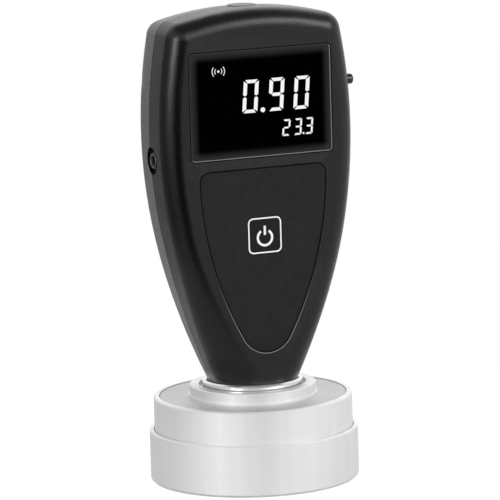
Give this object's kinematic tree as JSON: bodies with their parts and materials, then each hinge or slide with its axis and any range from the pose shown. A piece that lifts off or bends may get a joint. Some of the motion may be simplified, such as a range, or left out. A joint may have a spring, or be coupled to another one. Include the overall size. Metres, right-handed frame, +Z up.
{
  "type": "water activity meter",
  "caption": "Handheld meter with a display and one key, standing on a round measuring head that closes an open sample cup",
  "frame": {"origin": "centre of the sample cup's underside, the face it stands on", "axes": "+Z up along the meter, -Y the way the display faces, +X to the viewer's right"},
  "size_m": [0.0675, 0.0664, 0.1515],
  "materials": {
    "sample_cup": "fine turned and satin anodised",
    "sample_dish": "white polypropylene",
    "measuring_head": "fine turned and satin anodised",
    "head_seal": "black silicone ring",
    "head_plate": "turned, brighter than the drum",
    "sensor_guard": "perforated stainless cap",
    "sensor_board": "green circuit board",
    "humidity_sensor": "white sensor package",
    "temperature_sensor": "epoxy bead",
    "sensor_socket": "nylon connector",
    "sensor_lead": "grey sheathed lead",
    "sensor_screws": "pan head, plated",
    "head_screws": "pan head, plated",
    "head_collar": "turned, satin",
    "neck_ring": "polished",
    "neck_screws": "pan head, plated",
    "front_shell": "black moulding with a satin spark texture",
    "rear_shell": "black moulding with a satin spark texture",
    "battery_door": "black moulding with a satin spark texture",
    "battery_cells": "plain sleeve, steel ends",
    "battery_springs": "nickel-plated leaf",
    "battery_contacts": "nickel-plated strip",
    "display_window": "clear acrylic, dark behind",
    "keypad_overlay": "matte printed film",
    "power_key": "matte cap with a white mark",
    "power_plunger": "black actuator",
    "power_switch": "tactile switch body",
    "side_button": "black pin",
    "side_plunger": "black actuator",
    "side_switch": "right-angle tactile switch body",
    "data_jack": "black jack body",
    "top_plug": "soft black plug",
    "lcd_panel": "dark glass cell",
    "lcd_frame": "white carrier",
    "backlight": "light guide",
    "zebra_strips": "elastomer strips",
    "main_board": "green circuit board",
    "board_screws": "pan head, plated",
    "case_screws": "blackened pan head",
    "board_chips": "chip packages and a capacitor",
    "board_connector": "nylon connector",
    "buzzer": "black can"
  },
  "bodies": {
    "cup": {"sample_cup": "sample_cup", "sample_dish": "sample_dish"},
    "meter": {"measuring_head": "measuring_head", "head_seal": "head_seal", "head_plate": "head_plate", "sensor_guard": "sensor_guard", "sensor_board": "sensor_board", "humidity_sensor": "humidity_sensor", "temperature_sensor": "temperature_sensor", "sensor_socket": "sensor_socket", "sensor_lead": "sensor_lead", "sensor_screws": "sensor_screws", "head_screws": "head_screws", "head_collar": "head_collar", "neck_ring": "neck_ring", "neck_screws": "neck_screws", "front_shell": "front_shell", "rear_shell": "rear_shell", "battery_cells": "battery_cells", "battery_springs": "battery_springs", "battery_contacts": "battery_contacts", "display_window": "display_window", "keypad_overlay": "keypad_overlay", "power_switch": "power_switch", "side_switch": "side_switch", "data_jack": "data_jack", "top_plug": "top_plug", "lcd_panel": "lcd_panel", "lcd_frame": "lcd_frame", "backlight": "backlight", "zebra_strips": "zebra_strips", "main_board": "main_board", "board_screws": "board_screws", "case_screws": "case_screws", "board_chips": "board_chips", "board_connector": "board_connector", "buzzer": "buzzer"},
    "key": {"power_key": "power_key", "power_plunger": "power_plunger"},
    "side_key": {"side_button": "side_button", "side_plunger": "side_plunger"},
    "door": {"battery_door": "battery_door"}
  },
  "joints": [
    {"name": "meter_lift", "type": "slide", "parent": "cup", "child": "meter", "axis": [0, 0, 1], "range_m": [0, 0.06]},
    {"name": "power_key_press", "type": "slide", "parent": "meter", "child": "key", "axis": [0, 1, 0], "range_m": [0, 0.0003], "stiffness_N_per_m": 1000, "springref_m": -0.001},
    {"name": "side_button_press", "type": "slide", "parent": "meter", "child": "side_key", "axis": [-1, 0, 0], "range_m": [0, 0.0003], "stiffness_N_per_m": 1000, "springref_m": -0.001},
    {"name": "battery_door_swing", "type": "hinge", "parent": "meter", "child": "door", "pos_m": [0, 0.01225, 0.06995], "axis": [-1, 0, 0], "range_deg": [0, 60]}
  ]
}
